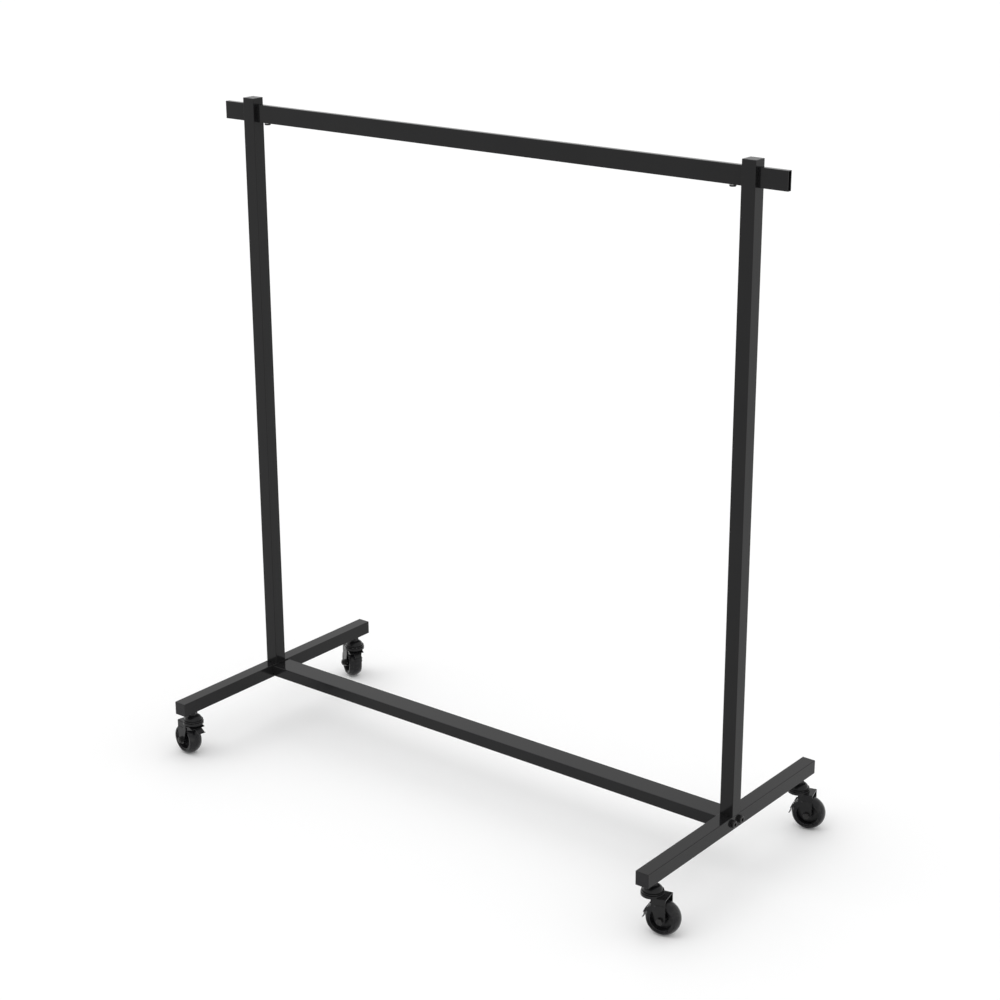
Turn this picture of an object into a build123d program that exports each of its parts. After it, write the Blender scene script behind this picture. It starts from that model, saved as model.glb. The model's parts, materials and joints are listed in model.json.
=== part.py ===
from build123d import *
import os
from math import cos, radians, sin

# Rolling clothes rack: two square posts on two square feet, a tall thin hanging rail
# through the post tops, a flat base rail between the feet, and four swivel casters
# with brakes. Millimetres, +Z up, +X along the rack, origin on the floor at the centre.

# ---- driving dimensions: frame ------------------------------------------------------
rail_length = 1500.0        # hanging rail, end to end
post_spacing = 1336.0       # between the two post centre lines
rack_height = 1546.5        # floor to the top of the post caps
foot_length = 660.0         # each foot, end to end along Y

tube_side = 32.0            # square tube of the posts and feet
tube_wall = 1.6
tube_corner = 1.0           # outer corner radius of the square tube

rail_height = 40.0          # hanging rail section, tall and thin
rail_thick = 12.0
rail_wall = 1.5
rail_corner = 1.0
rail_drop = 14.5            # from the top of the post caps down to the top of the rail

least_corner = 0.2          # smallest inner corner radius of any tube
plug_edge = 0.6             # rounding of a post plug's upright edges
insert_edge = 0.4           # rounding of a base rail insert's long edges

base_width = 55.0           # base rail section, flat
base_height = 27.0
base_wall = 1.6
base_corner = 1.5

cap_lip = 2.0               # visible plate of a closing cap
cap_plug_depth = 14.0       # how far a cap reaches into its tube
cap_plug_wall = 2.0
cap_clear = 0.15            # plug to the inside of its tube, each side
cap_edge = 0.8              # rounding of a cap's outer rim

# ---- driving dimensions: fasteners ---------------------------------------------------
head_rounding = 0.28        # rim of a socket screw's head, of the head's height
socket_share = 0.6          # depth of its socket, of the head's height
post_bolt_bite = 0.6        # how far a post bolt reaches into its plug, of the plug's depth
base_bolt_bite = 0.75       # how far a base bolt reaches into its insert, of the insert's depth
base_bolt_dia = 10.0        # two bolts through each foot into the base rail
base_bolt_head_dia = 17.5
base_bolt_head_height = 7.0
base_bolt_spacing = 28.5
base_bolt_socket = 8.0      # across the flats
base_insert_depth = 40.0    # threaded block inside each end of the base rail

post_bolt_dia = 8.0         # one bolt up through each foot into the post
post_bolt_head_dia = 14.0
post_bolt_head_height = 5.0
post_bolt_socket = 6.0
post_plug_depth = 45.0      # threaded block inside the bottom of each post

rail_screw_dia = 6.0        # one button screw up into the rail, inboard of each post
rail_screw_head_dia = 14.0
rail_screw_head_height = 4.4
rail_screw_socket = 4.0
rail_screw_inset = 28.0     # from the post's inner face to the screw's axis
rivet_nut_dia = 8.6
rivet_nut_length = 14.0
rivet_nut_flange_dia = 11.0
rivet_nut_flange = 1.0

# ---- driving dimensions: casters -----------------------------------------------------
stem_from_foot_end = 40.0   # stem axis to the end of its foot
stem_dia = 12.0
stem_grip = 24.0            # threaded length above the underside of the foot
stem_collar_flats = 19.0
stem_collar_height = 12.05
stem_tip_chamfer = 1.0
weld_nut_height = 10.0
weld_nut_flats = 19.0

wheel_radius = 38.0
wheel_width = 33.0
tread_inner_radius = 28.0
tread_side = 4.0            # flat shoulder of the tread before its crown starts
recess_radius = 24.5
web_thick = 8.0
web_draft = 1.5
rim_width = 30.0
hub_radius = 11.0
vent_dia = 3.0
vent_radius = 26.2
vent_depth = 6.0
vent_angle = -56.0          # about the axle, from the trail's direction

trail = 25.0                # stem axis to axle, on plan
fork_steel = 2.2
crown_thick = 2.5
crown_over_wheel = 9.0      # open height between the wheel and the crown
crown_tail = 36.5           # how far the crown reaches past the stem axis
race_radius = 25.0
race_lip = 3.6
race_lip_height = 3.8
race_rounding = 1.1
cup_height = 13.35          # rim of the upper cup to its top
cup_rim_radius = 23.8
cup_rim = 2.2
cup_dome_radius = 21.0
cup_hub_radius = 10.0
cup_wall = 2.0
dome_out = 0.72             # where the dome's arc passes, of the way out from the hub
dome_up = 0.70              # and of the way up from the rim
ball_dia = 5.0
ball_pitch_radius = 18.5
ball_land = 0.6             # flat of the cup inside the ball ring
balls_in_race = 12
rivet_head_radius = 8.0
rivet_head_height = 2.4
rivet_rounding = 1.2

leg_lead_top = 3.5          # leading edge of a leg, at the crown
leg_lead_bend = 4.8         # and at its bend
leg_bend_rise = 30.0        # bend of the leading edge, above the axle
leg_tail_rise = 22.0        # bend of the trailing edge, above the axle
leg_lobe = 11.0             # round lower end of a leg, about the axle
crease_rise = 35.0          # pressed line across a leg, above the axle
crease_depth = 0.6
crease_width = 1.3

axle_dia = 8.0
axle_head_flats = 13.0
axle_head_height = 5.0
axle_nut_height = 6.5
axle_tip = 1.5              # bolt end past its nut
bush_radius = 6.0

brake_pivot_back = 12.0     # brake pivot, from the axle back towards the stem
brake_pivot_rise = 32.0     # and above the axle
brake_pin_dia = 4.0
brake_steel = 1.2
brake_arm_width = 9.0
brake_shoe_gap = 0.6        # shoe to tread with the brake on
brake_shoe_length = 12.0
brake_shoe_angle = 155.0    # where the shoe meets the tread, about the axle
brake_pedal_length = 16.0
brake_pedal_width = 18.0
brake_pedal_bend = 15.0     # from the shoe's plane towards the wheel
brake_lip_length = 4.0
brake_lip_bend = 45.0       # from the pedal's plane away from the wheel
brake_off_angle = 50.0      # swing from brake on to brake off

# ---- fits ----------------------------------------------------------------------------
run_fit = 0.05              # radial, turning on a pin, stem or bush
side_fit = 0.3              # along an axle, beside a part that turns
hole_fit = 0.25             # radial, bolt through a plain hole
wheel_side_gap = 0.5        # wheel face to brake arm
ball_fit = 0.05

# ---- worked out ----------------------------------------------------------------------
axle_height = wheel_radius
arm_inner = wheel_width / 2 + wheel_side_gap
leg_inner = arm_inner + brake_steel + side_fit
leg_outer = leg_inner + fork_steel
crown_bottom = 2 * wheel_radius + crown_over_wheel
crown_top = crown_bottom + crown_thick
ball_height = crown_top + ball_fit + ball_dia / 2
cup_bottom = ball_height + ball_dia / 2 + ball_fit
cup_top = cup_bottom + cup_height
leg_bend_height = axle_height + leg_bend_rise
leg_tail_height = axle_height + leg_tail_rise
brake_pivot = Vector(trail - brake_pivot_back, axle_height + brake_pivot_rise)

foot_bottom = cup_top + stem_collar_height
foot_top = foot_bottom + tube_side
foot_middle = foot_bottom + tube_side / 2
foot_x = post_spacing / 2
tube_inside = tube_side - 2 * tube_wall
post_top = rack_height - cap_lip
post_length = post_top - foot_top
rail_top = rack_height - rail_drop
rail_middle = rail_top - rail_height / 2
rail_bottom = rail_top - rail_height
base_length = post_spacing - tube_side
stem_y = foot_length / 2 - stem_from_foot_end

SIDES = {"left": -1, "right": 1}

# name: (side in X, end in Y, heading of the trail in degrees, brake swing at rest)
CASTERS = {
    "front_left": (-1, -1, 170.0, brake_off_angle),
    "front_right": (1, -1, 12.0, 0.0),
    "back_left": (-1, 1, 150.0, brake_off_angle),
    "back_right": (1, 1, 16.0, 0.0),
}

os.makedirs("parts", exist_ok=True)


def keep(builder, name):
    """Label a finished piece and write it as one STEP file."""
    builder.part.label = name
    export_step(builder.part, f"parts/{name}.step")


# ---- sections and fasteners used more than once -----------------------------------------
def tube_section(width, height, wall, corner):
    """Hollow rectangular tube section, rounded outside and inside, into the open sketch."""
    RectangleRounded(width, height, corner)
    inner_corner = max(corner - wall, least_corner)
    RectangleRounded(width - 2 * wall, height - 2 * wall, inner_corner, mode=Mode.SUBTRACT)


def socket_screw(seat, head_dia, head_height, shank_dia, shank_length, socket_flats):
    """Socket screw whose head stands on the seat plane and whose shank runs behind it."""
    with BuildSketch(seat) as head:
        Circle(head_dia / 2)
    extrude(head.sketch, amount=head_height)
    head_top = faces(Select.LAST).sort_by(Axis(seat.origin, seat.z_dir))[-1]
    fillet(head_top.edges(), head_height * head_rounding)
    with BuildSketch(seat.offset(head_height)) as socket:
        RegularPolygon(socket_flats / 2, 6, major_radius=False)
    extrude(socket.sketch, amount=-head_height * socket_share, mode=Mode.SUBTRACT)
    with BuildSketch(seat) as shank:
        Circle(shank_dia / 2)
    extrude(shank.sketch, amount=-shank_length)


def plain_cap(mouth, width, height, inner_width, inner_height, corner):
    """Closing cap: a thin lip on the tube's mouth and a plug reaching into the tube."""
    with BuildSketch(mouth) as lip:
        RectangleRounded(width, height, corner)
    extrude(lip.sketch, amount=cap_lip)
    lip_face = faces(Select.LAST).sort_by(Axis(mouth.origin, mouth.z_dir))[-1]
    fillet(lip_face.edges(), cap_edge)
    with BuildSketch(mouth) as plug:
        hollow = 2 * (cap_clear + cap_plug_wall)
        Rectangle(inner_width - 2 * cap_clear, inner_height - 2 * cap_clear)
        Rectangle(inner_width - hollow, inner_height - hollow, mode=Mode.SUBTRACT)
    extrude(plug.sketch, amount=-cap_plug_depth)


# ---- posts ---------------------------------------------------------------------------
def post(side, name):
    """Square tube standing on its foot, with a slot near the top for the hanging rail."""
    x = side * foot_x
    with BuildPart() as tube:
        with BuildSketch(Plane.XY.offset(foot_top)):
            with Locations((x, 0)):
                tube_section(tube_side, tube_side, tube_wall, tube_corner)
        extrude(amount=post_length)
        with BuildSketch(Plane.YZ.offset(x - tube_side / 2)):
            with Locations((0, rail_middle)):
                RectangleRounded(rail_thick, rail_height, rail_corner)
        extrude(amount=tube_side, mode=Mode.SUBTRACT)
    keep(tube, name)


def post_cap(side, name):
    with BuildPart() as cap:
        plain_cap(Plane((side * foot_x, 0, post_top)), tube_side, tube_side,
                  tube_inside, tube_inside, tube_corner)
        with BuildSketch(Plane.XY.offset(rail_top + cap_clear)):
            with Locations((side * foot_x, 0)):
                Rectangle(tube_side, tube_side)
        extrude(amount=-tube_side, mode=Mode.SUBTRACT)
    keep(cap, name)


def post_plug(side, name):
    """Threaded block welded into the bottom of a post, for the bolt through the foot."""
    with BuildPart() as plug:
        with BuildSketch(Plane.XY.offset(foot_top)):
            with Locations((side * foot_x, 0)):
                Rectangle(tube_inside, tube_inside)
                Circle(post_bolt_dia / 2, mode=Mode.SUBTRACT)
        extrude(amount=post_plug_depth)
        fillet(plug.edges().filter_by(Axis.Z).filter_by(GeomType.LINE), plug_edge)
    keep(plug, name)


# ---- hanging rail ----------------------------------------------------------------------
def screw_places():
    return [(side * (foot_x - tube_side / 2 - rail_screw_inset), 0) for side in SIDES.values()]


def hanging_rail():
    """Tall thin tube through both posts, open at its ends, drilled for the rivet nuts."""
    with BuildPart() as rail:
        with BuildSketch(Plane.YZ.offset(-rail_length / 2)):
            with Locations((0, rail_middle)):
                tube_section(rail_thick, rail_height, rail_wall, rail_corner)
        extrude(amount=rail_length)
        with BuildSketch(Plane.XY.offset(rail_bottom)):
            with Locations(*screw_places()):
                Circle(rivet_nut_dia / 2)
        extrude(amount=rail_wall, mode=Mode.SUBTRACT)
    keep(rail, "hanging_rail")


def rail_screws():
    with BuildPart() as screws:
        for x, y in screw_places():
            seat = Plane((x, y, rail_bottom), x_dir=(1, 0, 0), z_dir=(0, 0, -1))
            head = seat.offset(rivet_nut_flange)
            socket_screw(head, rail_screw_head_dia, rail_screw_head_height - rivet_nut_flange,
                         rail_screw_dia, rivet_nut_length, rail_screw_socket)
    keep(screws, "rail_screws")


def rail_rivet_nuts():
    with BuildPart() as nuts:
        with BuildSketch(Plane.XY.offset(rail_bottom - rivet_nut_flange)):
            with Locations(*screw_places()):
                Circle(rivet_nut_flange_dia / 2)
        extrude(amount=rivet_nut_flange)
        with BuildSketch(Plane.XY.offset(rail_bottom)):
            with Locations(*screw_places()):
                Circle(rivet_nut_dia / 2)
        extrude(amount=rivet_nut_length - rivet_nut_flange)
        with BuildSketch(Plane.XY.offset(rail_bottom - rivet_nut_flange)):
            with Locations(*screw_places()):
                Circle(rail_screw_dia / 2)
        extrude(amount=rivet_nut_length, mode=Mode.SUBTRACT)
    keep(nuts, "rail_rivet_nuts")


# ---- feet ------------------------------------------------------------------------------
def foot(side, name):
    """Square tube along Y, drilled for the base rail bolts, the post bolt and two stems."""
    x = side * foot_x
    with BuildPart() as tube:
        with BuildSketch(Plane.XZ.offset(-foot_length / 2 + cap_lip)):
            with Locations((x, foot_middle)):
                tube_section(tube_side, tube_side, tube_wall, tube_corner)
        extrude(amount=foot_length - 2 * cap_lip)
        with BuildSketch(Plane.YZ.offset(x - tube_side / 2)):
            with Locations((0, foot_middle)):
                with GridLocations(base_bolt_spacing, 0, 2, 1):
                    Circle(base_bolt_dia / 2 + hole_fit)
        extrude(amount=tube_side, mode=Mode.SUBTRACT)
        with BuildSketch(Plane.XY.offset(foot_bottom)):
            with Locations((x, 0)):
                Circle(post_bolt_dia / 2 + hole_fit)
        extrude(amount=tube_side, mode=Mode.SUBTRACT)
        with BuildSketch(Plane.XY.offset(foot_bottom)):
            with Locations((x, -stem_y), (x, stem_y)):
                Circle(stem_dia / 2 + hole_fit)
        extrude(amount=tube_wall, mode=Mode.SUBTRACT)
    keep(tube, name)


def foot_caps(side, name):
    with BuildPart() as caps:
        for end in (-1, 1):
            mouth = Plane((side * foot_x, end * (foot_length / 2 - cap_lip), foot_middle),
                          x_dir=(1, 0, 0), z_dir=(0, end, 0))
            plain_cap(mouth, tube_side, tube_side, tube_inside, tube_inside, tube_corner)
    keep(caps, name)


def post_bolts():
    """One bolt up through each foot, its head under the foot, into the post's plug."""
    with BuildPart() as bolts:
        for side in SIDES.values():
            seat = Plane((side * foot_x, 0, foot_bottom), x_dir=(1, 0, 0), z_dir=(0, 0, -1))
            socket_screw(seat, post_bolt_head_dia, post_bolt_head_height, post_bolt_dia,
                         tube_side + post_plug_depth * post_bolt_bite, post_bolt_socket)
    keep(bolts, "post_bolts")


def stem_weld_nuts():
    """Four nuts welded to the floor of the feet, which the caster stems screw into."""
    with BuildPart() as nuts:
        with BuildSketch(Plane.XY.offset(foot_bottom + tube_wall)):
            with GridLocations(post_spacing, 2 * stem_y, 2, 2):
                RegularPolygon(weld_nut_flats / 2, 6, major_radius=False)
                Circle(stem_dia / 2, mode=Mode.SUBTRACT)
        extrude(amount=weld_nut_height)
    keep(nuts, "stem_weld_nuts")


# ---- base rail ---------------------------------------------------------------------------
def base_rail():
    with BuildPart() as rail:
        with BuildSketch(Plane.YZ.offset(-base_length / 2)):
            with Locations((0, foot_middle)):
                tube_section(base_width, base_height, base_wall, base_corner)
        extrude(amount=base_length)
    keep(rail, "base_rail")


def base_rail_insert(side, name):
    """Threaded block welded inside one end of the base rail."""
    start = side * base_length / 2
    with BuildPart() as block:
        with BuildSketch(Plane.YZ.offset(start)):
            with Locations((0, foot_middle)):
                Rectangle(base_width - 2 * base_wall, base_height - 2 * base_wall)
                with GridLocations(base_bolt_spacing, 0, 2, 1):
                    Circle(base_bolt_dia / 2, mode=Mode.SUBTRACT)
        extrude(amount=-side * base_insert_depth)
        fillet(block.edges().filter_by(Axis.X).filter_by(GeomType.LINE), insert_edge)
    keep(block, name)


def base_bolts(side, name):
    """The two big socket bolts on a foot's outer face."""
    outer_face = side * (foot_x + tube_side / 2)
    with BuildPart() as bolts:
        for y in (-base_bolt_spacing / 2, base_bolt_spacing / 2):
            seat = Plane((outer_face, y, foot_middle), x_dir=(0, 1, 0), z_dir=(side, 0, 0))
            socket_screw(seat, base_bolt_head_dia, base_bolt_head_height, base_bolt_dia,
                         tube_side + base_insert_depth * base_bolt_bite, base_bolt_socket)
    keep(bolts, name)


# ---- casters -----------------------------------------------------------------------------
class CasterFrame:
    """Planes of one caster: along its trail, across it, and flat on plan."""

    def __init__(self, side, end, heading):
        self.x, self.y = side * foot_x, end * stem_y
        self.ahead = Vector(cos(radians(heading)), sin(radians(heading)), 0)
        self.across = Vector(-self.ahead.Y, self.ahead.X, 0)

    def point(self, along, over, height):
        return Vector(self.x, self.y, height) + self.ahead * along + self.across * over

    def plan(self, height):
        """Flat plane at a height, local x along the trail."""
        return Plane(self.point(0, 0, height), x_dir=self.ahead, z_dir=(0, 0, 1))

    def side_view(self, over):
        """Upright plane along the trail, local x along it and local y up, facing -across."""
        return Plane(self.point(0, over, 0), x_dir=self.ahead, z_dir=self.across * -1)

    def half_section(self):
        """Upright plane through the stem axis, for profiles turned about it."""
        return self.side_view(0)

    def wheel_section(self):
        """Upright plane through the axle, local x along the axle and local y up."""
        return Plane(self.point(trail, 0, axle_height), x_dir=self.across, z_dir=self.ahead)

    def stem_axis(self):
        return Axis(self.point(0, 0, 0), (0, 0, 1))

    def axle_axis(self):
        return Axis(self.point(trail, 0, axle_height), self.across)


def caster_stem(frame, name):
    """Threaded stud with a hexagon collar under the foot and a riveted end under the crown."""
    with BuildPart() as stem:
        with BuildSketch(frame.plan(crown_bottom - side_fit)):
            Circle(stem_dia / 2)
        extrude(amount=foot_bottom + stem_grip - crown_bottom + side_fit)
        with BuildSketch(frame.plan(crown_bottom - side_fit)):
            Circle(rivet_head_radius)
        extrude(amount=-rivet_head_height)
        fillet(stem.faces().sort_by(Axis.Z)[0].edges(), rivet_rounding)
        with BuildSketch(frame.plan(cup_top)):
            RegularPolygon(stem_collar_flats / 2, 6, major_radius=False)
        extrude(amount=stem_collar_height)
        chamfer(stem.faces().sort_by(Axis.Z)[-1].edges(), stem_tip_chamfer)
    keep(stem, name)


def caster_upper_cup(frame, name):
    """Domed cup fixed on the stem, whose rim runs on the balls."""
    with BuildPart() as cup:
        with BuildSketch(frame.half_section()):
            with BuildLine():
                rim_top = cup_bottom + cup_rim
                Line((stem_dia / 2, cup_top), (cup_hub_radius, cup_top))
                ThreePointArc((cup_hub_radius, cup_top),
                              (cup_hub_radius + (cup_dome_radius - cup_hub_radius) * dome_out,
                               rim_top + (cup_top - rim_top) * dome_up),
                              (cup_dome_radius, rim_top))
                Polyline((cup_dome_radius, rim_top), (cup_rim_radius, rim_top),
                         (cup_rim_radius, cup_bottom),
                         (ball_pitch_radius - ball_dia / 2 - ball_land, cup_bottom),
                         (cup_hub_radius, cup_top - 2 * cup_wall),
                         (stem_dia / 2, cup_top - 2 * cup_wall),
                         (stem_dia / 2, cup_top))
            make_face()
        revolve(axis=frame.stem_axis())
    keep(cup, name)


def swivel_balls(frames):
    """Ball ring of every caster, as separate balls."""
    with BuildPart() as balls:
        for frame in frames:
            with Locations(frame.plan(ball_height)):
                with PolarLocations(ball_pitch_radius, balls_in_race):
                    Sphere(ball_dia / 2)
    keep(balls, "swivel_balls")


def caster_fork(frame, name):
    """Pressed fork: round race over a channel whose two legs straddle the wheel."""
    with BuildPart() as fork:
        with BuildSketch(frame.plan(crown_bottom)):
            Circle(race_radius)
            with Locations((crown_tail / 2, 0)):
                Rectangle(crown_tail, 2 * leg_outer)
        extrude(amount=crown_thick)
        for over in (-leg_outer, leg_inner):
            leg_plane = frame.side_view(over)
            with BuildSketch(leg_plane):
                with BuildLine():
                    Polyline((leg_lead_top, crown_top), (leg_lead_bend, leg_bend_height),
                             (trail - leg_lobe, axle_height), (trail + leg_lobe, axle_height),
                             (crown_tail, leg_tail_height), (crown_tail, crown_top),
                             (leg_lead_top, crown_top))
                make_face()
                with Locations((trail, axle_height)):
                    Circle(leg_lobe)
            extrude(amount=-fork_steel)
        tail_edges = fork.edges().filter_by(lambda e: abs(e.center().Z - crown_top) < 0.01
                                            and abs(abs((e @ 0.5 - frame.point(0, 0, crown_top))
                                                        .dot(frame.across)) - leg_outer) < 0.01)
        fillet(tail_edges, crown_thick)
        with BuildSketch(frame.plan(crown_top)):
            Circle(race_radius)
            Circle(race_radius - race_lip, mode=Mode.SUBTRACT)
        extrude(amount=race_lip_height)
        fillet(fork.faces().sort_by(Axis.Z)[-1].edges().sort_by(SortBy.LENGTH)[-1], race_rounding)
        with BuildSketch(frame.plan(crown_bottom)):
            Circle(stem_dia / 2 + run_fit)
        extrude(amount=crown_thick, mode=Mode.SUBTRACT)
        with BuildSketch(frame.side_view(-leg_outer)):
            with Locations((trail, axle_height)):
                Circle(axle_dia / 2)
            with Locations((brake_pivot.X, brake_pivot.Y)):
                Circle(brake_pin_dia / 2)
        extrude(amount=-2 * leg_outer, mode=Mode.SUBTRACT)
        crease_start = leg_lead_bend + leg_lobe
        for over, inward in ((-leg_outer, -1), (leg_outer, 1)):
            with BuildSketch(frame.side_view(over)):
                with Locations(((crease_start + crown_tail) / 2 - crease_width, axle_height + crease_rise)):
                    SlotOverall(crown_tail - crease_start, crease_width)
            extrude(amount=inward * crease_depth, mode=Mode.SUBTRACT)
    keep(fork, name)


def caster_axle(frame, name):
    """Axle bolt through both legs, and its nut."""
    with BuildPart() as axle:
        with BuildSketch(frame.side_view(-leg_outer)):
            with Locations((trail, axle_height)):
                Circle(axle_dia / 2)
        extrude(amount=-(2 * leg_outer + axle_nut_height + axle_tip))
        with BuildSketch(frame.side_view(-leg_outer)):
            with Locations((trail, axle_height)):
                RegularPolygon(axle_head_flats / 2, 6, major_radius=False)
        extrude(amount=axle_head_height)
    with BuildPart() as nut:
        with BuildSketch(frame.side_view(leg_outer)):
            with Locations((trail, axle_height)):
                RegularPolygon(axle_head_flats / 2, 6, major_radius=False)
                Circle(axle_dia / 2, mode=Mode.SUBTRACT)
        extrude(amount=-axle_nut_height)
    both = Compound(children=[axle.part, nut.part])
    both.label = name
    export_step(both, f"parts/{name}.step")


def caster_bush(frame, name):
    """Steel sleeve clamped between the legs, on which the wheel turns."""
    with BuildPart() as bush:
        with BuildSketch(frame.side_view(-leg_inner)):
            with Locations((trail, axle_height)):
                Circle(bush_radius)
                Circle(axle_dia / 2, mode=Mode.SUBTRACT)
        extrude(amount=-2 * leg_inner)
    keep(bush, name)


def caster_wheel_core(frame, name):
    """Hub, thin web and rim of the wheel, with one small vent in the rim's face."""
    half_hub, half_rim, half_web = wheel_width / 2, rim_width / 2, web_thick / 2
    with BuildPart() as core:
        with BuildSketch(frame.wheel_section()):
            with BuildLine():
                Polyline((-half_hub, bush_radius + run_fit), (-half_hub, hub_radius),
                         (-half_web, hub_radius + web_draft), (-half_web, recess_radius - web_draft),
                         (-half_rim, recess_radius), (-half_rim, tread_inner_radius),
                         (half_rim, tread_inner_radius), (half_rim, recess_radius),
                         (half_web, recess_radius - web_draft), (half_web, hub_radius + web_draft),
                         (half_hub, hub_radius), (half_hub, bush_radius + run_fit),
                         (-half_hub, bush_radius + run_fit))
            make_face()
        revolve(axis=frame.axle_axis())
        vent_at = (trail + vent_radius * cos(radians(vent_angle)),
                   axle_height + vent_radius * sin(radians(vent_angle)))
        for over, inward in ((-half_rim, -1), (half_rim, 1)):
            with BuildSketch(frame.side_view(over)):
                with Locations(vent_at):
                    Circle(vent_dia / 2)
            extrude(amount=inward * vent_depth, mode=Mode.SUBTRACT)
    keep(core, name)


def caster_tread(frame, name):
    """Crowned tread ring moulded round the core."""
    half = wheel_width / 2
    shoulder = tread_inner_radius + tread_side
    with BuildPart() as tread:
        with BuildSketch(frame.wheel_section()):
            with BuildLine():
                Line((-half, shoulder), (-half, tread_inner_radius))
                Line((-half, tread_inner_radius), (half, tread_inner_radius))
                Line((half, tread_inner_radius), (half, shoulder))
                ThreePointArc((half, shoulder), (0, wheel_radius), (-half, shoulder))
            make_face()
        revolve(axis=frame.axle_axis())
    keep(tread, name)


def caster_brake_pins(frame, name):
    """Two plain pins through the legs, flush outside, which carry the brake's arms."""
    with BuildPart() as pins:
        for hand in (-1, 1):
            with BuildSketch(frame.side_view(hand * arm_inner)):
                with Locations((brake_pivot.X, brake_pivot.Y)):
                    Circle(brake_pin_dia / 2)
            extrude(amount=-hand * (leg_outer - arm_inner))
    keep(pins, name)


def direction(angle):
    return Vector(cos(radians(angle)), sin(radians(angle)))


def caster_brake(frame, swing, name):
    """Brake: two arms on the fork's pins, a shoe across the tread, a pedal and its lip."""
    outward = direction(brake_shoe_angle)
    downward = direction(brake_shoe_angle + 90)
    pedal_out = direction(brake_shoe_angle + brake_pedal_bend)
    pedal_down = direction(brake_shoe_angle + brake_pedal_bend + 90)
    lip_out = direction(brake_shoe_angle + brake_pedal_bend - brake_lip_bend)
    lip_down = direction(brake_shoe_angle + brake_pedal_bend - brake_lip_bend + 90)
    shoe = Vector(trail, axle_height) + outward * (wheel_radius + brake_shoe_gap)
    shoe_high = shoe - downward * (brake_shoe_length / 2)
    shoe_low = shoe + downward * (brake_shoe_length / 2)
    pedal_end = shoe_low + pedal_down * brake_pedal_length
    lip_end = pedal_end + lip_down * brake_lip_length
    reach = (shoe - brake_pivot).normalized()
    arm_half = Vector(-reach.Y, reach.X) * (brake_arm_width / 2)

    def outline(*points):
        """Closed outline through the points, swung about the pivot to the rest position."""
        turned = [brake_pivot + (point - brake_pivot).rotate(Axis.Z, -swing) for point in points]
        with BuildLine() as line:
            Polyline(*turned, close=True)
        return line.line

    def strip(start, end, out, half_width):
        """Flat strip of the brake's steel between two points, outside the line that joins them."""
        with BuildSketch(frame.side_view(-half_width)) as edge:
            add(outline(start, start + out * brake_steel, end + out * brake_steel, end))
            make_face()
        extrude(edge.sketch, amount=-2 * half_width)

    with BuildPart() as bail:
        for over in (-arm_inner - brake_steel, arm_inner):
            with BuildSketch(frame.side_view(over)):
                add(outline(brake_pivot + arm_half, brake_pivot - arm_half, shoe_high,
                            shoe_high + outward * brake_steel, shoe_low + outward * brake_steel,
                            shoe_low))
                make_face()
                with Locations((brake_pivot.X, brake_pivot.Y)):
                    Circle(brake_arm_width / 2)
                    Circle(brake_pin_dia / 2 + run_fit, mode=Mode.SUBTRACT)
            extrude(amount=-brake_steel)
        strip(shoe_high, shoe_low, outward, arm_inner + brake_steel)
        strip(shoe_low - pedal_down * brake_steel, pedal_end, pedal_out, brake_pedal_width / 2)
        strip(pedal_end, lip_end, lip_out, brake_pedal_width / 2)
    keep(bail, name)


def make_caster(name, side, end, heading, swing):
    frame = CasterFrame(side, end, heading)
    caster_stem(frame, f"caster_{name}_stem")
    caster_upper_cup(frame, f"caster_{name}_upper_cup")
    caster_fork(frame, f"caster_{name}_fork")
    caster_axle(frame, f"caster_{name}_axle")
    caster_bush(frame, f"caster_{name}_bush")
    caster_wheel_core(frame, f"caster_{name}_wheel_core")
    caster_tread(frame, f"caster_{name}_tread")
    caster_brake_pins(frame, f"caster_{name}_brake_pins")
    caster_brake(frame, swing, f"caster_{name}_brake")
    return frame


# ---- build ---------------------------------------------------------------------------------
for word, side in SIDES.items():
    post(side, f"post_{word}")
    post_cap(side, f"post_cap_{word}")
    post_plug(side, f"post_plug_{word}")
    foot(side, f"foot_{word}")
    foot_caps(side, f"foot_caps_{word}")
    base_rail_insert(side, f"base_rail_insert_{word}")
    base_bolts(side, f"base_bolts_{word}")
hanging_rail()
rail_screws()
rail_rivet_nuts()
post_bolts()
stem_weld_nuts()
base_rail()
frames = [make_caster(name, *values) for name, values in CASTERS.items()]
swivel_balls(frames)
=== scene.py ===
# %% [markdown]
# # A rolling clothes rack, finished for a studio picture
# The rack's working parts arrive as a fixed frame: each tube, bolt, fork and wheel is
# already at its real size and in its real place. This lesson gives them the finishes of
# the real thing, adds the small details that the frame leaves out, and sets up a camera,
# a pale floor and soft light. First the frame is loaded and measured.

# %% Load the frame
import json
import math

import bpy
import numpy as np
from mathutils import Matrix, Vector

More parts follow.
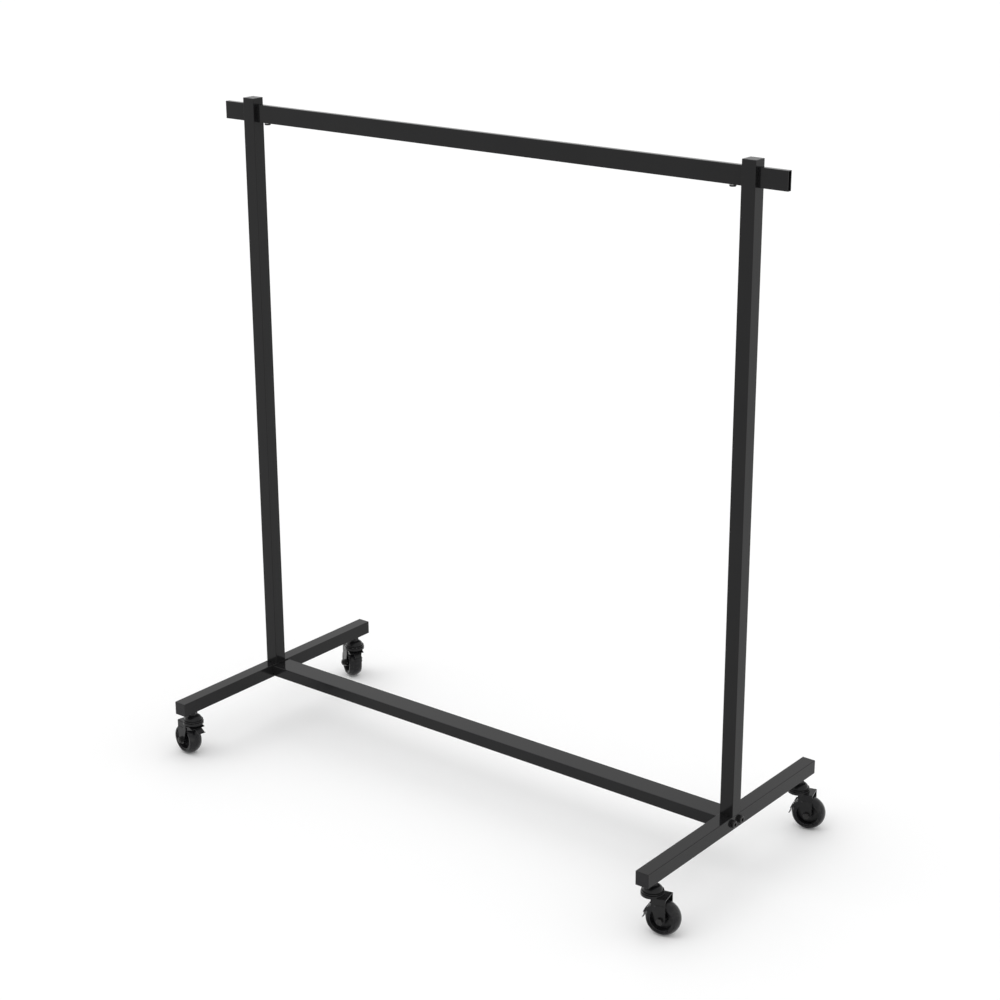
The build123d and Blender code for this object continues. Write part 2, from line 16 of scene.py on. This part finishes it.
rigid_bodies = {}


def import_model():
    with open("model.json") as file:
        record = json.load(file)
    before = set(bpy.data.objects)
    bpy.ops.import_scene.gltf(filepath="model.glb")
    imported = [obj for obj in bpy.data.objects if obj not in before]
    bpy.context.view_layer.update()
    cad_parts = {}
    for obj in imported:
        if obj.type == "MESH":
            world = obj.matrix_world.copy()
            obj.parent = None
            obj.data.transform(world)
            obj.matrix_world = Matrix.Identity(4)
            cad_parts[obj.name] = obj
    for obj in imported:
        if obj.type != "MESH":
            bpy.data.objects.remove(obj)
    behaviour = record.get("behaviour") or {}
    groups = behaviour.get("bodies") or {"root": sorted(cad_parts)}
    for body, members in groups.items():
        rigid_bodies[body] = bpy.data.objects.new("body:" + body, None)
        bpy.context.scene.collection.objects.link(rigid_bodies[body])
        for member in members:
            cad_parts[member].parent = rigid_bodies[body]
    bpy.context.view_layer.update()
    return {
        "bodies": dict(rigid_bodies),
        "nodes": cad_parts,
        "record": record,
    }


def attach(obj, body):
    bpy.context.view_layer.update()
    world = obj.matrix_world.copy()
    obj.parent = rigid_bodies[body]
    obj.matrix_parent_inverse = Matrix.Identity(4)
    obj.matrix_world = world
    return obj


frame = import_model()
nodes, bodies = frame["nodes"], frame["bodies"]
joints = frame["record"]["behaviour"]["joints"]
corner_names = ("front_left", "front_right", "back_left", "back_right")

# %% [markdown]
# A material is a small graph of nodes, but its arithmetic reads best as ordinary sums.
# One way is to place every Math node by hand; a shorter one is to wrap each socket in a
# class whose operators add the nodes. `Signal` does that, with the reflected forms too,
# so that `1 - mask` works as well as `mask - 1`.

# %% Arithmetic on sockets
class Signal:
    """A number on its way through a material. Sums on it add Math nodes."""

    def __init__(self, finish, socket):
        self.finish, self.socket = finish, socket

    def maths(self, operation, *terms, clamp=False):
        settings = {"operation": operation, "use_clamp": clamp}
        return self.finish.node("ShaderNodeMath", settings, dict(enumerate(terms)))

    def __add__(self, other):
        return self.maths("ADD", self, other)

    def __sub__(self, other):
        return self.maths("SUBTRACT", self, other)

    def __mul__(self, other):
        return self.maths("MULTIPLY", self, other)

    def __truediv__(self, other):
        return self.maths("DIVIDE", self, other)

    def __rsub__(self, other):
        return self.maths("SUBTRACT", other, self)

    __radd__, __rmul__ = __add__, __mul__

    def size(self):
        """The number without its sign."""
        return self.maths("ABSOLUTE", self)

    def above(self, edge, soft):
        """0 below an edge and 1 above it, with a soft step of that width."""
        return self.maths("ADD", (self - edge) / soft, 0.5, clamp=True)


class Finish:
    """One material: a Principled shader, and the nodes that feed it."""

    def __init__(self, name, **shader):
        self.material = bpy.data.materials.new(name)
        self.material.use_nodes = True
        self.tree = self.material.node_tree
        self.shader = self.tree.nodes["Principled BSDF"]
        for socket, value in shader.items():
            self.shader.inputs[socket.replace("_", " ")].default_value = value

    def node(self, kind, settings=None, inputs=None, output=0):
        """Add a node: settings first, then its sockets' values or links; give one output."""
        made = self.tree.nodes.new(kind)
        for name, value in (settings or {}).items():
            setattr(made, name, value)
        for key, value in (inputs or {}).items():
            if isinstance(value, Signal):
                self.tree.links.new(value.socket, made.inputs[key])
            else:
                made.inputs[key].default_value = value
        return Signal(self, made.outputs[output])

    def feed(self, socket, signal):
        """Link a signal to a socket of the shader."""
        self.tree.links.new(signal.socket, self.shader.inputs[socket])

    def place(self, stretch=(1, 1, 1)):
        """Object coordinates in metres, stretched by a Mapping node."""
        where = self.node("ShaderNodeTexCoord", output="Object")
        return self.node("ShaderNodeMapping", {"vector_type": "POINT"},
                         {"Vector": where, "Scale": stretch})

    def along(self, axis):
        """Object coordinate along one axis: 0, 1 or 2."""
        where = self.node("ShaderNodeTexCoord", output="Object")
        return self.node("ShaderNodeSeparateXYZ", None, {"Vector": where}, output=axis)

    def noise(self, where, per_metre, detail=2.0, roughness=0.5):
        """Soft random value near 0.5, with so many grains to the metre."""
        return self.node("ShaderNodeTexNoise", None,
                         {"Vector": where, "Scale": per_metre, "Detail": detail,
                          "Roughness": roughness})

    def between(self, low, high, mask):
        """Colour that goes from low to high with the mask."""
        return self.node("ShaderNodeMix", {"data_type": "RGBA"},
                         {0: mask, 6: (*low, 1.0), 7: (*high, 1.0)}, output=2)

    def relief(self, height, metres):
        """Small shape in the surface: a height from 0 to 1, so many metres deep."""
        bump = self.node("ShaderNodeBump", None, {"Height": height, "Distance": metres,
                                                  "Strength": 1.0})
        self.feed("Normal", bump)

print("Signal and Finish are ready")

# %% [markdown]
# The posts, feet and rails are steel tube in black powder coat. Powder melts and flows in
# the oven, so the coat is smooth and half glossy with a very faint orange peel, about
# two millimetres from bump to bump and a few microns high. A flat colour would look
# like plastic, so the roughness drifts a little too, as handling leaves it. The hanging
# rail is open at its ends. A mask on its height and depth paints shade into its hollow:
# the inside is coloured near black and made dull, standing in for the shade in so thin a tube.

# %% Powder coat
RAIL_MIDDLE = 1.512             # height of the rail's centre line
RAIL_HALF_WIDTH = 0.0045        # of its hollow, across and up
RAIL_HALF_HEIGHT = 0.0185
OPEN_PART = 0.69                # past this distance from the middle the hollow shows
MASK_EDGE = 0.0006
OPEN_EDGE = 0.002


def powder_coat():
    coat = Finish("frame_paint", Specular_IOR_Level=0.17)
    where = coat.place()
    drift = coat.noise(where, 9.0, 3.0)
    speck = coat.noise(where, 900.0, 2.0)
    peel = coat.noise(where, 420.0, 1.0)
    wide = coat.along(1).size().above(RAIL_HALF_WIDTH, MASK_EDGE)
    tall = (coat.along(2) - RAIL_MIDDLE).size().above(RAIL_HALF_HEIGHT, MASK_EDGE)
    far_out = coat.along(0).size().above(OPEN_PART, OPEN_EDGE)
    # painted shade: the hollow at the rail's open ends is masked and coloured near black, where shade
    # falls inside the tube
    hollow_shade = (1 - wide) * (1 - tall) * far_out
    skin = coat.between((0.0085, 0.0085, 0.0090), (0.0125, 0.0124, 0.0126), drift)
    # the near-black colour of that painted shade
    shade_black = (0.001, 0.001, 0.001, 1.0)
    coat.feed("Base Color", coat.node("ShaderNodeMix", {"data_type": "RGBA"},
                                      {0: hollow_shade, 6: skin, 7: shade_black}, output=2))
    coat.feed("Roughness", 0.08 + drift * 0.05 + speck * 0.02 + hollow_shade * 0.7)
    coat.relief(peel, 8e-6)
    return coat.material


print("powder coat is ready")

# %% [markdown]
# The closing caps are injection-moulded plastic. The mould's fine spark-eroded grain
# makes them a little duller than the paint. The grain is close to half a millimetre, and
# a slower cloud stands for the flow of the melt.

# %% Moulded caps
def moulded_cap():
    cap = Finish("cap_plastic", Specular_IOR_Level=0.2)
    where = cap.place()
    flow = cap.noise(where, 30.0, 2.0)
    grain = cap.noise(where, 1900.0, 2.0)
    cap.feed("Base Color", cap.between((0.009, 0.009, 0.010), (0.014, 0.014, 0.015), flow))
    cap.feed("Roughness", 0.2 + grain * 0.1 + flow * 0.06)
    cap.relief(grain, 7e-6)
    return cap.material


print("moulded caps are ready")

# %% [markdown]
# The bolts and screws are black oxide: steel turned black by a hot salt bath, then oiled.
# It has no thickness of its own, so the turned or forged steel shows through as fine
# uneven patches, and the oil leaves some of them shinier.

# %% Black oxide
def black_oxide():
    oxide = Finish("fastener_black", Specular_IOR_Level=0.3)
    where = oxide.place()
    patches = oxide.noise(where, 160.0, 4.0, 0.65)
    turned = oxide.noise(oxide.place((1.0, 1.0, 7.0)), 700.0, 1.0)
    oxide.feed("Base Color", oxide.between((0.008, 0.008, 0.009), (0.02, 0.019, 0.018), patches))
    oxide.feed("Roughness", 0.2 + patches * 0.18)
    oxide.relief(turned, 5e-6)
    return oxide.material


print("black oxide is ready")

# %% [markdown]
# The caster's pressed steel is electro-coated: dipped and stoved, in a thin even film that
# follows the sheet. So the press marks stay: long faint streaks down the legs, where the
# sheet slid over the die. Stretching the noise one way makes streaks out of grains.

# %% Electro-coated pressings
def dipped_steel():
    film = Finish("caster_steel", Specular_IOR_Level=0.2)
    streaks = film.noise(film.place((1.0, 1.0, 0.12)), 420.0, 3.0)
    cloud = film.noise(film.place(), 60.0, 2.0)
    film.feed("Base Color", film.between((0.008, 0.008, 0.009), (0.014, 0.014, 0.014), cloud))
    film.feed("Roughness", 0.14 + streaks * 0.1 + cloud * 0.05)
    film.relief(streaks, 9e-6)
    return film.material


print("electro-coat is ready")

# %% [markdown]
# The hidden steel is zinc plated: balls, bushes, weld nuts and threaded blocks. Zinc is a
# pale grey metal with a fine spangle, and metal needs Metallic at 1, since its colour is
# in its reflection and not under it.

# %% Zinc plate
def zinc_plate():
    zinc = Finish("bare_steel", Metallic=1.0)
    spangle = zinc.noise(zinc.place(), 350.0, 3.0)
    zinc.feed("Base Color", zinc.between((0.46, 0.46, 0.47), (0.62, 0.62, 0.61), spangle))
    zinc.feed("Roughness", 0.25 + spangle * 0.2)
    return zinc.material


print("zinc plate is ready")

# %% [markdown]
# The wheels are black nylon. Moulded nylon is glossy where the mould was polished, and
# the tread picks up dust and fine scuffs from the floor, so its colour and roughness both
# follow one noise.

# %% Nylon wheels
def nylon():
    wheel = Finish("wheel_plastic", Specular_IOR_Level=0.22)
    where = wheel.place()
    scuffs = wheel.noise(where, 240.0, 5.0, 0.6)
    flow = wheel.noise(where, 45.0, 2.0)
    dusty = wheel.noise(where, 80.0, 4.0).above(0.58, 0.15)
    wheel.feed("Base Color", wheel.between((0.009, 0.009, 0.010), (0.02, 0.02, 0.02), dusty))
    wheel.feed("Roughness", 0.12 + scuffs * 0.1 + flow * 0.04 + dusty * 0.05)
    wheel.relief(scuffs, 6e-6)
    return wheel.material


print("nylon is ready")

# %% [markdown]
# Every CAD node names a material slot in the record. Its mesh takes the finish of that
# slot; the mesh itself stays as it is.

# %% Finishes onto the CAD nodes
finishes = {"frame_paint": powder_coat(), "cap_plastic": moulded_cap(),
            "fastener_black": black_oxide(), "caster_steel": dipped_steel(),
            "bare_steel": zinc_plate(), "wheel_plastic": nylon()}
for part in frame["record"]["subparts"]:
    mesh = nodes[part["node"]].data
    mesh.materials.clear()
    mesh.materials.append(finishes[part["material_slot"]])
print("finishes:", ", ".join(finishes))

# %% [markdown]
# The frame's wheels are smooth where the mould of a real one leaves small steps: a bead
# at each shoulder of the tread and one round the rim. Each bead is a ring, a small circle
# carried round a large one, so one formula gives every point of it. The points are laid
# out as a grid that closes both ways, and the wheel's own joint says where its axle is.

# %% Beads on the wheels
AROUND, ACROSS = 160, 10                # points round a ring, and round its bead
TREAD_BEAD = (0.0314, 0.01645, 0.00024) # ring radius R, place on the axle w, bead radius r
RIM_BEAD = (0.0262, 0.0149, 0.00022)


def wheel_beads(corner):
    """Four rings on one wheel. With e1 and e2 square to the axle a, and t, s from 0 to 2 pi:
    p = c + (R + r cos s)(e1 cos t + e2 sin t) + a (w + r sin s)."""
    roll = next(j for j in joints if j["name"] == f"wheel_{corner}_roll")
    centre, axle = np.array(roll["pos_m"]), np.array(roll["axis"])
    up = np.array((0.0, 0.0, 1.0))
    ahead = np.cross(axle, up)
    t, s = np.meshgrid(np.linspace(0, 2 * np.pi, AROUND, endpoint=False),
                       np.linspace(0, 2 * np.pi, ACROSS, endpoint=False), indexing="ij")
    spoke = np.cos(t)[..., None] * ahead + np.sin(t)[..., None] * up
    i, j = np.meshgrid(np.arange(AROUND), np.arange(ACROSS), indexing="ij")
    after, above = (i + 1) % AROUND, (j + 1) % ACROSS
    quads = np.stack([i * ACROSS + j, after * ACROSS + j, after * ACROSS + above,
                      i * ACROSS + above], axis=-1).reshape(-1, 4)
    points, faces = [], []
    for radius, out, bead in (TREAD_BEAD, RIM_BEAD):
        for hand in (-1, 1):
            ring = (centre + (radius + bead * np.cos(s))[..., None] * spoke
                    + (hand * out + bead * np.sin(s))[..., None] * axle)
            faces.append(quads[:, ::hand] + len(points) * AROUND * ACROSS)
            points.append(ring.reshape(-1, 3))
    mesh = bpy.data.meshes.new(f"wheel_beads_{corner}")
    mesh.from_pydata(np.concatenate(points), [], np.concatenate(faces))
    mesh.polygons.foreach_set("use_smooth", np.ones(len(mesh.polygons), dtype=bool))
    mesh.materials.append(finishes["wheel_plastic"])
    beads = bpy.data.objects.new(mesh.name, mesh)
    bpy.context.scene.collection.objects.link(beads)
    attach(beads, f"wheel_{corner}")
    return beads


for corner in corner_names:
    print(wheel_beads(corner).name, "made")

# %% [markdown]
# The floor is a wide pale sweep, so bright that it and the background run together. One
# way to do that is a very strong lamp, which burns out the soft shading under the feet.
# Here the sky gives almost all of the light, and a broad sun adds just enough to pass
# white, so each shadow stays a soft pale grey.

# %% Floor and light
FLOOR_SIDE = 80.0
bpy.ops.mesh.primitive_plane_add(size=FLOOR_SIDE)
floor = bpy.context.object
floor.name = "studio_floor"
pale = Finish("floor_pale", Base_Color=(0.97, 0.97, 0.97, 1.0), Roughness=0.7,
              Specular_IOR_Level=0.1)
floor.data.materials.append(pale.material)

world = bpy.data.worlds.new("studio")
bpy.context.scene.world = world
world.use_nodes = True
world.node_tree.nodes["Background"].inputs["Color"].default_value = (1, 1, 1, 1)
world.node_tree.nodes["Background"].inputs["Strength"].default_value = 0.99

lamp = bpy.data.lights.new("broad_sun", "SUN")
lamp.energy, lamp.angle = 0.3, math.radians(40)
sun = bpy.data.objects.new("broad_sun", lamp)
bpy.context.scene.collection.objects.link(sun)
sun.rotation_mode = "QUATERNION"
sun.rotation_quaternion = Vector((1.0, 1.2, -2.4)).to_track_quat("-Z", "Y")
print("floor", FLOOR_SIDE, "m wide, sun and sky set")

# %% [markdown]
# The camera stands at the right front, a little above the rack, with a long lens, so
# upright lines stay nearly upright. Its three axes come from a yaw, a pitch and a small
# roll. The view transform is Standard, since white must stay white.

# %% Camera
camera_spot = Vector((2.78068, -3.46466, 2.24788))
yaw, pitch, roll = (math.radians(a) for a in (38.2750, -19.0549, -0.2198))
forward = Vector((-math.sin(yaw) * math.cos(pitch), math.cos(yaw) * math.cos(pitch), math.sin(pitch)))
level = Vector((math.cos(yaw), math.sin(yaw), 0))
upright = level.cross(forward)
right = level * math.cos(roll) + upright * math.sin(roll)
up = upright * math.cos(roll) - level * math.sin(roll)
lens = bpy.data.cameras.new("studio_camera")
lens.sensor_width, lens.lens = 36.0, 75.918
camera = bpy.data.objects.new("studio_camera", lens)
bpy.context.scene.collection.objects.link(camera)
turned = Matrix((right, up, -forward)).transposed().to_4x4()
camera.matrix_world = Matrix.Translation(camera_spot) @ turned
bpy.context.scene.camera = camera
bpy.context.scene.view_settings.view_transform = "Standard"
print("camera", lens.lens, "mm, at", camera_spot[:])
